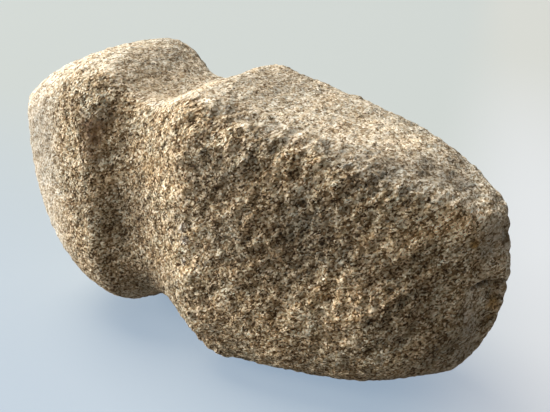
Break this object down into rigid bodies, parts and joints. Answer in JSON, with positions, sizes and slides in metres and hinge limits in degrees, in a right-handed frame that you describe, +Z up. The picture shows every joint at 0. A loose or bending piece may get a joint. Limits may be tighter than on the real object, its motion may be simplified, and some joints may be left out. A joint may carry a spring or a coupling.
{
  "type": "grooved stone axe head",
  "caption": "Hand-pecked stone axe head with a haft groove pecked all round, a blunt poll and a ground, use-chipped cutting edge, lying on its narrow side.",
  "frame": {"origin": "on the ground, under the middle of the axe head's length and thickness", "axes": "+X from the poll to the cutting edge, +Z up across the broad faces, -Y out of the front broad face"},
  "size_m": [0.164, 0.0628, 0.0867],
  "materials": {
    "stone": "matt, coarse-grained, pecked stone with pits and rusty spots"
  },
  "bodies": {
    "root": {"axe_head": "stone"}
  },
  "joints": []
}
